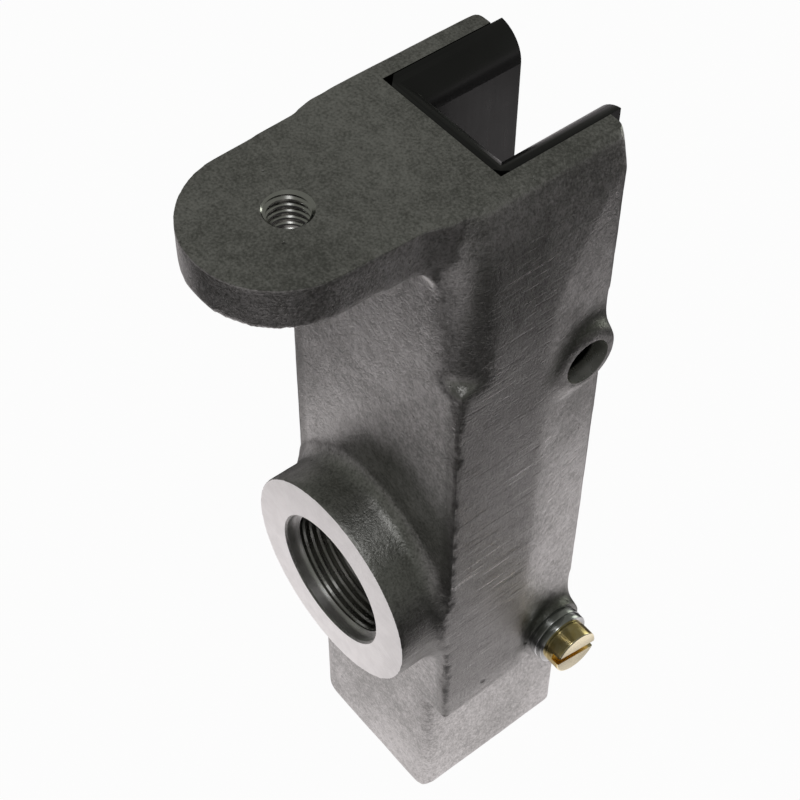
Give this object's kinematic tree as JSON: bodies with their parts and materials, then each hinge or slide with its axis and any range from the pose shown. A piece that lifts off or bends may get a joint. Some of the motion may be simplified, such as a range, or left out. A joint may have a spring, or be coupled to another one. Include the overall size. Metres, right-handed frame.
{
  "type": "elevator guide shoe",
  "caption": "Cast guide shoe for a lift car with a threaded stem boss, a lubricator tongue and a screw-pinned U-shaped plastic liner that slides along the blade of a guide rail.",
  "frame": {"origin": "bottom end of the rail channel: middle plane of the rail, floor of the liner pocket, underside of the foot", "axes": "+Z along the rail toward the lubricator tongue, +Y toward the rail's foot, -Y toward the stem boss"},
  "size_m": [0.0521, 0.0692, 0.17],
  "materials": {
    "body": "rough casting, machined on the boss face and top",
    "liner": "satin",
    "screw": "turned",
    "washer": "zinc plated"
  },
  "bodies": {
    "root": {"shoe_body": "body", "guide_liner": "liner", "retaining_screw": "screw", "flat_washer": "washer", "spring_washer": "washer"}
  },
  "joints": []
}
